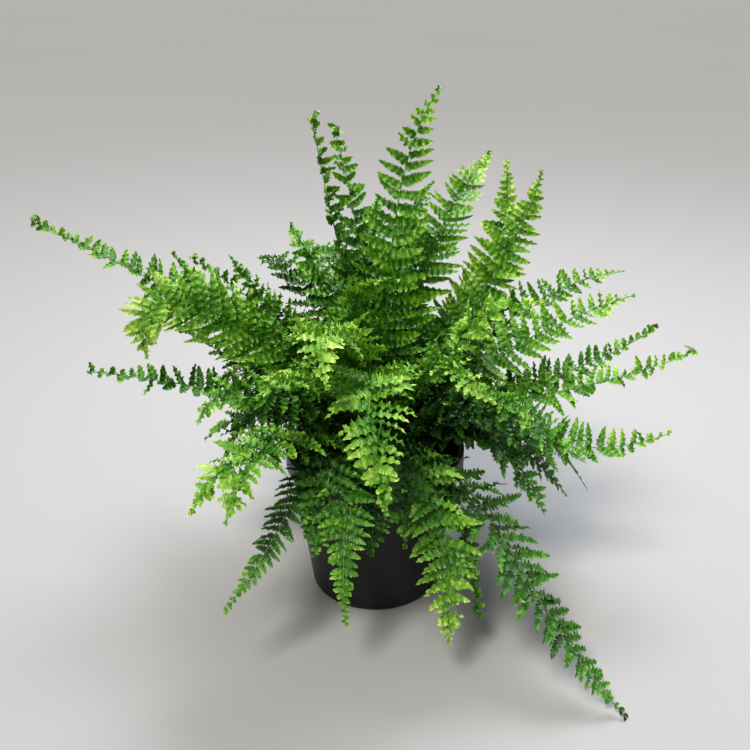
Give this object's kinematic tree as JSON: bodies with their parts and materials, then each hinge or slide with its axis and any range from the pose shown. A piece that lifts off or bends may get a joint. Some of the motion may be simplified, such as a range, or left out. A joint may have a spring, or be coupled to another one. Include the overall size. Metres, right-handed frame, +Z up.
{
  "type": "potted fern",
  "caption": "Bushy ruffled sword fern growing from a scaly rootstock in a plain round nursery pot, its arching fronds spreading past the rim on every side.",
  "frame": {"origin": "centre of the pot's flat underside, on the pot's axis", "axes": "+Z up along the pot's axis, +X to the right and +Y away from a viewer who stands in front"},
  "size_m": [0.3351, 0.2898, 0.2637],
  "materials": {
    "pot_plastic": "satin",
    "peat_soil": "matte",
    "rootstock_scales": "matte",
    "fern_leaf": "satin"
  },
  "bodies": {
    "root": {"pot": "pot_plastic", "potting_soil": "peat_soil", "rootstock": "rootstock_scales", "frond_01": "fern_leaf", "frond_02": "fern_leaf", "frond_03": "fern_leaf", "frond_04": "fern_leaf", "frond_05": "fern_leaf", "frond_06": "fern_leaf", "frond_07": "fern_leaf", "frond_08": "fern_leaf", "frond_09": "fern_leaf", "frond_10": "fern_leaf", "frond_11": "fern_leaf", "frond_12": "fern_leaf", "frond_13": "fern_leaf", "frond_14": "fern_leaf", "frond_15": "fern_leaf", "frond_16": "fern_leaf", "frond_17": "fern_leaf", "frond_18": "fern_leaf", "frond_19": "fern_leaf", "frond_20": "fern_leaf", "frond_21": "fern_leaf", "frond_22": "fern_leaf", "frond_23": "fern_leaf", "frond_24": "fern_leaf", "frond_25": "fern_leaf", "frond_26": "fern_leaf", "frond_27": "fern_leaf", "frond_28": "fern_leaf", "frond_29": "fern_leaf", "frond_30": "fern_leaf", "frond_31": "fern_leaf", "frond_32": "fern_leaf", "frond_33": "fern_leaf", "frond_34": "fern_leaf", "frond_35": "fern_leaf", "frond_36": "fern_leaf", "frond_37": "fern_leaf", "frond_38": "fern_leaf", "frond_39": "fern_leaf", "frond_40": "fern_leaf", "frond_41": "fern_leaf", "frond_42": "fern_leaf", "frond_43": "fern_leaf", "frond_44": "fern_leaf", "frond_45": "fern_leaf", "frond_46": "fern_leaf", "frond_47": "fern_leaf", "frond_48": "fern_leaf", "frond_49": "fern_leaf", "frond_50": "fern_leaf", "frond_51": "fern_leaf", "frond_52": "fern_leaf", "frond_53": "fern_leaf", "frond_54": "fern_leaf", "frond_55": "fern_leaf", "frond_56": "fern_leaf", "frond_57": "fern_leaf"}
  },
  "joints": []
}
